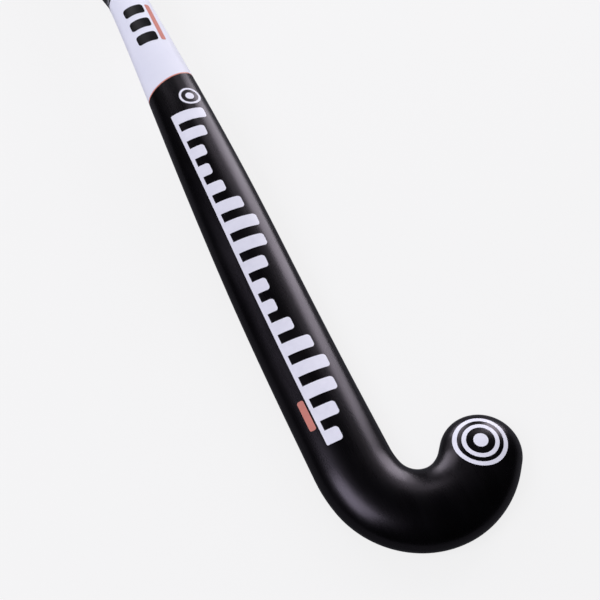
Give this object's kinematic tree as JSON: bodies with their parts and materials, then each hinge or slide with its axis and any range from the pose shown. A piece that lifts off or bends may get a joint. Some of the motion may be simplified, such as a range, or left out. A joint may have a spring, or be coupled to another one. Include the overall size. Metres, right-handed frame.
{
  "type": "field hockey stick",
  "caption": "Junior composite field hockey stick with a short curved hook, flat face, rounded back, bowed tapering shaft, printed back marks and a wrapped grip",
  "frame": {"origin": "on the flat playing face, on the shaft's centre line, where the straight shaft meets the hook", "axes": "+Y runs up the shaft to the butt, +X points to the toe's side, +Z comes out of the rounded back, away from the playing face"},
  "size_m": [0.1124, 0.7642, 0.0518],
  "materials": {
    "black_coat": "satin lacquer",
    "accent": "satin lacquer",
    "white_coat": "satin lacquer",
    "laminate": "carbon and glass fibre in resin",
    "foam": "rigid foam",
    "liner": "aramid cloth in resin",
    "inner_tube": "fibre in resin",
    "damper": "soft rubber",
    "cap_rubber": "moulded",
    "grip_cushion": "foamed",
    "grip_tape": "soft tape with a dry feel",
    "finishing_tape": "stretched tape",
    "white_mark": "printed film",
    "accent_mark": "printed film",
    "black_mark": "printed film"
  },
  "bodies": {
    "root": {"lower_coat": "black_coat", "pinstripe": "accent", "upper_coat": "white_coat", "laminate": "laminate", "head_core": "foam", "face_liner": "liner", "heel_liner": "liner", "toe_side_tube": "inner_tube", "heel_side_tube": "inner_tube", "centre_web": "inner_tube", "damper": "damper", "handle_plug": "foam", "butt_cap": "cap_rubber", "under_grip": "grip_cushion", "grip_tape": "grip_tape", "finishing_tape": "finishing_tape", "toe_outer_ring": "white_mark", "toe_inner_ring": "white_mark", "toe_dot": "white_mark", "back_bars": "white_mark", "accent_bar": "accent_mark", "shaft_ring": "white_mark", "shaft_dot": "white_mark", "upper_bar_1": "black_mark", "upper_bar_2": "black_mark", "upper_bar_3": "black_mark", "upper_accent": "accent_mark"}
  },
  "joints": []
}
